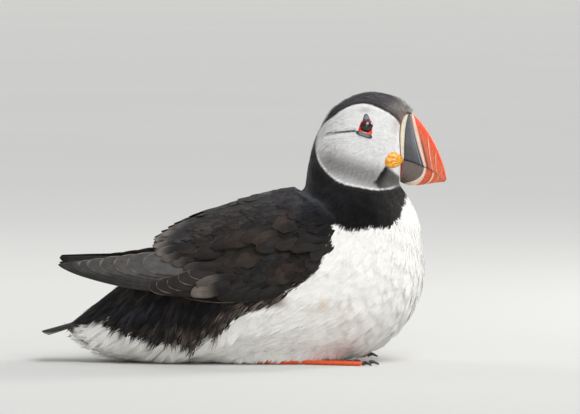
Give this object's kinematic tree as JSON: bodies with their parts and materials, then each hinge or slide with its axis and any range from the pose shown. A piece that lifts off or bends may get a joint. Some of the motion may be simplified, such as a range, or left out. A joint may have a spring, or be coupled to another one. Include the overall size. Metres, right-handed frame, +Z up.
{
  "type": "atlantic puffin",
  "caption": "Life-size still model of an adult Atlantic puffin resting on its belly, wings folded, with a tall banded bill and webbed feet flat beneath it.",
  "frame": {"origin": "on the ground, under the centre of the bounding box", "axes": "+X towards the bill, +Y towards the bird's left side, +Z up"},
  "size_m": [0.2357, 0.099, 0.1564],
  "materials": {
    "plumage_black": "matt feather, black",
    "plumage_brown_black": "matt feather, brown-black with paler edges",
    "plumage_white": "soft feather, white",
    "orange_horn": "satin horn, orange-red with pale grooves",
    "slate_horn": "satin horn, blue-grey",
    "pale_horn": "satin horn, cream",
    "rosette_skin": "wrinkled bare skin, orange-yellow",
    "lid_skin": "bare skin, red",
    "eyeball": "wet gloss, dark brown",
    "foot_skin": "scaly skin, orange-red",
    "claw_horn": "satin horn, black"
  },
  "bodies": {
    "root": {"trunk": "plumage_white", "neck": "plumage_black", "head": "plumage_white", "tail": "plumage_black", "bill_cere": "pale_horn", "bill_upper_plate": "slate_horn", "bill_upper_ridge": "pale_horn", "bill_upper_sheath": "orange_horn", "bill_lower_plate": "slate_horn", "bill_lower_ridge": "pale_horn", "bill_lower_sheath": "orange_horn", "scapulars_left": "plumage_brown_black", "scapulars_right": "plumage_brown_black", "wing_coverts_left": "plumage_black", "wing_coverts_right": "plumage_black", "secondaries_left": "plumage_brown_black", "secondaries_right": "plumage_brown_black", "primaries_left": "plumage_brown_black", "primaries_right": "plumage_brown_black", "tarsus_left": "foot_skin", "tarsus_right": "foot_skin", "foot_left": "foot_skin", "foot_right": "foot_skin", "claw_inner_left": "claw_horn", "claw_inner_right": "claw_horn", "claw_middle_left": "claw_horn", "claw_middle_right": "claw_horn", "claw_outer_left": "claw_horn", "claw_outer_right": "claw_horn", "eye_left": "eyeball", "eye_right": "eyeball", "eye_ring_left": "lid_skin", "eye_ring_right": "lid_skin", "eye_plate_upper_left": "slate_horn", "eye_plate_upper_right": "slate_horn", "eye_plate_lower_left": "slate_horn", "eye_plate_lower_right": "slate_horn", "gape_rosette_left": "rosette_skin", "gape_rosette_right": "rosette_skin"}
  },
  "joints": []
}
